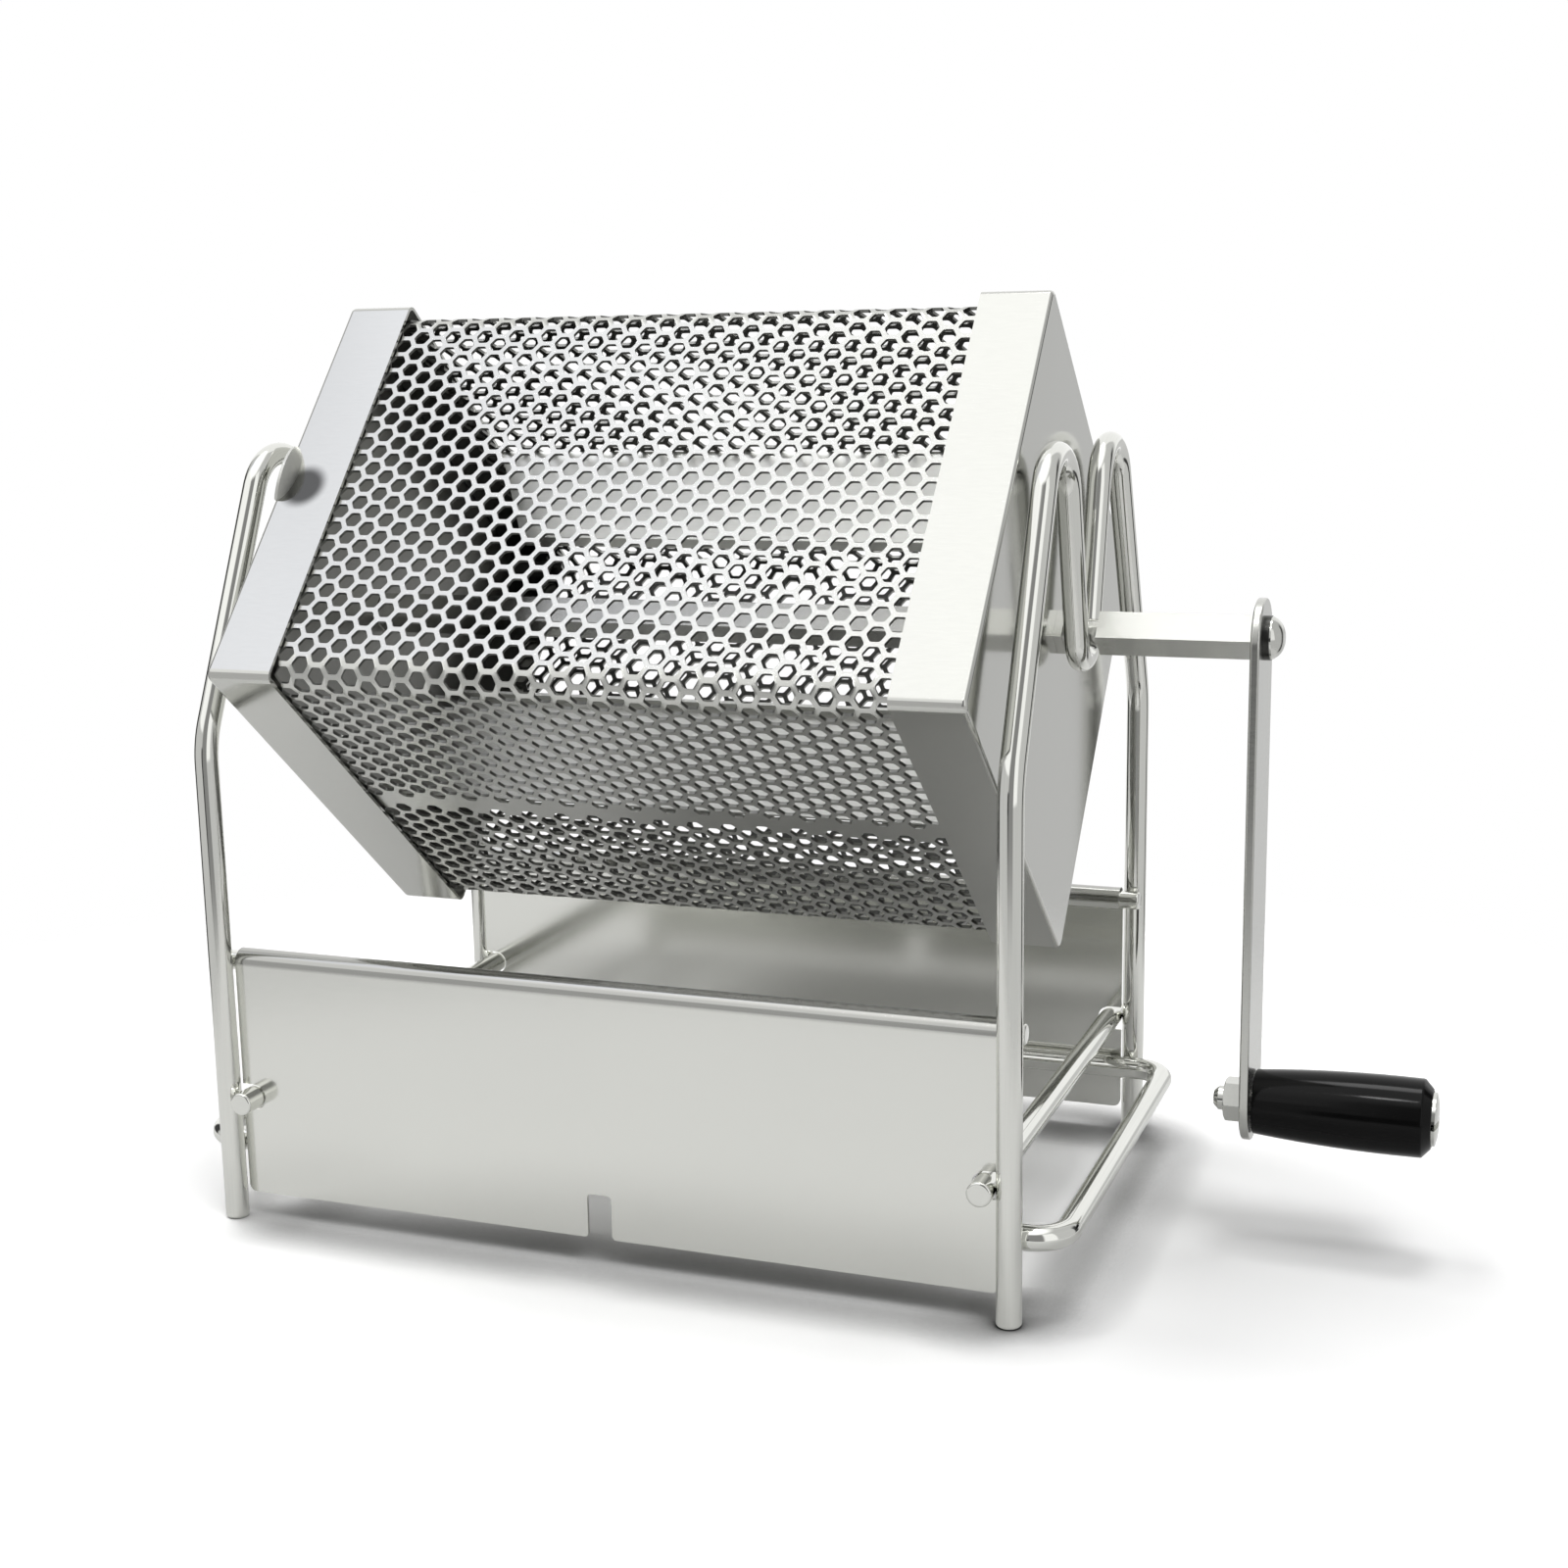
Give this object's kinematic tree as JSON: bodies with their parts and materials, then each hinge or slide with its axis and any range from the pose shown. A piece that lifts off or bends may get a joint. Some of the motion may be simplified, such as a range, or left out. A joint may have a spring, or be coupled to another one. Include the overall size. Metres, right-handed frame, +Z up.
{
  "type": "coffee roaster",
  "caption": "Hand-cranked coffee roaster: a tilted square perforated drum with a pull-off lid turns in the open cradles of a bent-wire stand, above a burner space between wind shields.",
  "frame": {"origin": "centre of the stand's footprint on the floor, midway between the four leg ends", "axes": "+X along the drum's axis towards the crank, +Y to the back, +Z up"},
  "size_m": [0.3078, 0.1626, 0.2313],
  "materials": {
    "polished_wire": "polished stainless rod",
    "shield_sheet": "satin stainless sheet",
    "perforated_sheet": "bright perforated stainless sheet",
    "pan_sheet": "polished stainless sheet",
    "bar_steel": "satin stainless bar",
    "fastener_steel": "bright stainless fasteners",
    "black_grip": "glossy black"
  },
  "bodies": {
    "stand": {"side_frame_left": "polished_wire", "side_frame_right": "polished_wire", "top_rail_front": "polished_wire", "top_rail_back": "polished_wire", "base_ring": "polished_wire", "side_tie_left": "polished_wire", "side_tie_right": "polished_wire", "wind_shield_front": "shield_sheet", "wind_shield_back": "shield_sheet"},
    "drum": {"mantle_front": "perforated_sheet", "mantle_back": "perforated_sheet", "vane_upper": "perforated_sheet", "vane_lower": "perforated_sheet", "end_cap": "pan_sheet", "drive_shaft": "bar_steel", "crank_arm": "bar_steel", "crank_washer": "fastener_steel", "crank_screw": "fastener_steel", "grip_bolt": "fastener_steel", "grip_nut": "fastener_steel"},
    "lid": {"lid": "pan_sheet"},
    "grip": {"grip": "black_grip"}
  },
  "joints": [
    {"name": "drum_turn", "type": "hinge", "parent": "stand", "child": "drum", "pos_m": [0, 0, 0.15], "axis": [1, 0, 0], "continuous": true},
    {"name": "lid_pull", "type": "slide", "parent": "drum", "child": "lid", "axis": [-1, 0, 0], "range_m": [0, 0.0055]},
    {"name": "grip_spin", "type": "hinge", "parent": "drum", "child": "grip", "pos_m": [0, 0, 0.0353], "axis": [1, 0, 0], "continuous": true}
  ]
}
